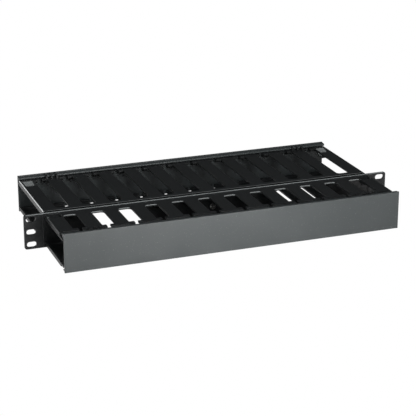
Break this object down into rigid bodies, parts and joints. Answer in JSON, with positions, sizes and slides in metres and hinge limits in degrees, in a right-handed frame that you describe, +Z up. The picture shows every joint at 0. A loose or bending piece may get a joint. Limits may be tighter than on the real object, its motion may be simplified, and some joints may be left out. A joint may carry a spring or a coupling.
{
  "type": "horizontal cable manager",
  "caption": "One-unit rack cable manager: slotted finger ducts in front of and behind a mounting panel with ears, each closed by a flat cover hinged along its top edge.",
  "frame": {"origin": "middle of the mounting ears' rear face, the plane that meets the rack's rails, at half height", "axes": "+X to the right across the rack, +Y into the rack from the front duct to the rear one, +Z up"},
  "size_m": [0.4826, 0.23, 0.0489],
  "materials": {
    "duct_plastic": "satin moulded black plastic",
    "cover_plastic": "satin extruded black plastic with a fine grain",
    "screw_steel": "zinc-plated steel"
  },
  "bodies": {
    "ducts": {"front_duct": "duct_plastic", "rear_duct": "duct_plastic", "duct_screws": "screw_steel", "duct_nuts": "screw_steel"},
    "front_cover": {"front_cover": "cover_plastic"},
    "rear_cover": {"rear_cover": "cover_plastic"}
  },
  "joints": [
    {"name": "front_cover_hinge", "type": "hinge", "parent": "ducts", "child": "front_cover", "pos_m": [0, -0.0838, 0.023], "axis": [-1, 0, 0], "range_deg": [0, 110]},
    {"name": "rear_cover_hinge", "type": "hinge", "parent": "ducts", "child": "rear_cover", "pos_m": [0, 0.1328, 0.023], "axis": [1, 0, 0], "range_deg": [0, 110]}
  ]
}
